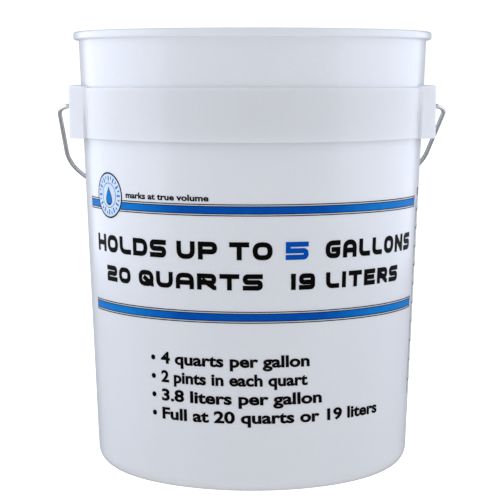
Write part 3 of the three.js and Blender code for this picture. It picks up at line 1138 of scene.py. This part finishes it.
def add_to_studio(name, mesh, **looks):
    """A glowing surface that only the camera sees, so the lights alone set the shading."""
    surface = Surface(name + "_white")
    surface.out(Specular_IOR_Level=0.0, Emission_Color=WHITE, **looks)
    mesh.materials.append(surface.material)
    obj = link_object(name, mesh)
    obj.visible_diffuse = False
    obj.visible_glossy = False
    obj.visible_transmission = False
    obj.visible_volume_scatter = False
    obj.visible_shadow = False


def add_floor():
    half = FLOOR_HALF
    mesh = bpy.data.meshes.new("floor")
    corners = [(-half, -half, 0), (half, -half, 0), (half, half, 0), (-half, half, 0)]
    mesh.from_pydata(corners, [], [(0, 1, 2, 3)])
    grey = (0.88, 0.88, 0.88, 1)
    add_to_studio("floor", mesh, Base_Color=grey, Roughness=0.9, Emission_Strength=FLOOR_GLOW)


def add_backdrop():
    """A plain white surround."""
    bm = bmesh.new()
    bmesh.ops.create_icosphere(bm, subdivisions=4, radius=BACKDROP_RADIUS)
    mesh = mesh_from_bmesh("backdrop", bm)
    add_to_studio("backdrop", mesh, Base_Color=(0, 0, 0, 1), Emission_Strength=BACKDROP_GLOW)


def add_world():
    """Soft light from the front, less from the sides and little from behind the pail. It is
    stronger from below, as off a pale floor, and from high overhead."""
    world = bpy.data.worlds.new("studio")
    bpy.context.scene.world = world
    world.use_nodes = True
    n = Nodes(world.node_tree)
    way = n.place("Generated")
    level = n.add("ShaderNodeVectorMath", {0: way, 1: (1, 1, 0)}, operation="MULTIPLY").outputs[0]
    unit = n.add("ShaderNodeVectorMath", {0: level}, operation="NORMALIZE").outputs[0]
    forward = n.add("ShaderNodeVectorMath", {0: unit, 1: (0, -1, 0)}, operation="DOT_PRODUCT")
    turned = forward.outputs["Value"]
    up = n.add("ShaderNodeSeparateXYZ", {0: way}).outputs["Z"]

    def past(edge, blur, before, after):
        """Goes from one strength to the next as the direction turns past an edge."""
        start, end = math.cos(edge + blur), math.cos(edge - blur)
        return n.ramp(turned, after, before, start, end, "SMOOTHSTEP")

    side = past(SIDE_FROM, SIDE_BLUR, FRONT_LIGHT, SIDE_LIGHT)
    gap = past(GAP_FROM, GAP_BLUR, 1.0, GAP_LIGHT / SIDE_LIGHT)
    bounce = n.calculate("MULTIPLY_ADD", up, -FLOOR_BOUNCE, 1.0)
    overhead = n.ramp(up, 0.0, OVERHEAD, OVERHEAD_FROM, OVERHEAD_TO, "SMOOTHSTEP")
    around, height = n.calculate("MULTIPLY", side, gap), n.calculate("ADD", bounce, overhead)
    background = n.tree.nodes["Background"]
    n.set(background.inputs["Color"], SKY_COLOUR)
    n.set(background.inputs["Strength"], n.calculate("MULTIPLY", around, height))


# ---- assembly ------------------------------------------------------------


def dress(obj, material, body, node=None):
    obj.data.materials.clear()
    obj.data.materials.append(material)
    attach(obj, body)
    if node:
        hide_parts(node)


add_camera()
add_world()
add_floor()
add_backdrop()
add_softbox("softbox_left", -SOFTBOX_AZIMUTH, 1.44)
add_softbox("softbox_right", SOFTBOX_AZIMUTH, 1.21)

dress(make_shell(), pail_plastic(), "bucket", "bucket_shell")
dress(make_bail(), bail_steel(), "bail", "bail_wire")
dress(make_grip(), grip_plastic(), "grip", "grip")

blue_bands, black_lines = make_stripes()
heading, facts, small_line, badge_ground, badge_ring, badge_marks, scale = ([] for _ in range(7))
make_heading(blue_bands, heading)
make_list(facts)
make_badge(badge_marks, badge_ring, badge_ground)
make_scale(scale)
make_small_line(small_line)

# Blue ink; its last two colours are a painted reflection, lighter towards the sides of the print.
blue = ink(
    "print_blue",
    (0.0, 0.074, 0.42, 1),
    (0.0, 0.090, 0.48, 1),
    0.36,
    (0.003, 0.180, 0.58, 1),
    (0.005, 0.210, 0.66, 1),
)
black = ink("print_black", (0.001, 0.0005, 0.0005, 1), (0.004, 0.002, 0.002, 1), 0.36)
pale = pale_ink()
for name, parts, material, slot in (
    ("print_blue_bands", blue_bands, blue, "print_blue"),
    ("print_lines", black_lines, black, "print_black"),
    ("print_heading", heading, black, "print_black"),
    ("print_list", facts, black, "print_black"),
    ("print_small_line", small_line, black, "print_black"),
    ("print_badge_ground", badge_ground, pale, "print_blue"),
    ("print_badge_ring", badge_ring, black, "print_black"),
    ("print_badge_marks", badge_marks, blue, "print_blue"),
    ("print_scale", scale, black, "print_black"),
):
    dress(print_object(name, parts), material, "bucket")

bpy.context.scene.view_settings.view_transform = "Standard"
bpy.context.scene.view_settings.look = "None"
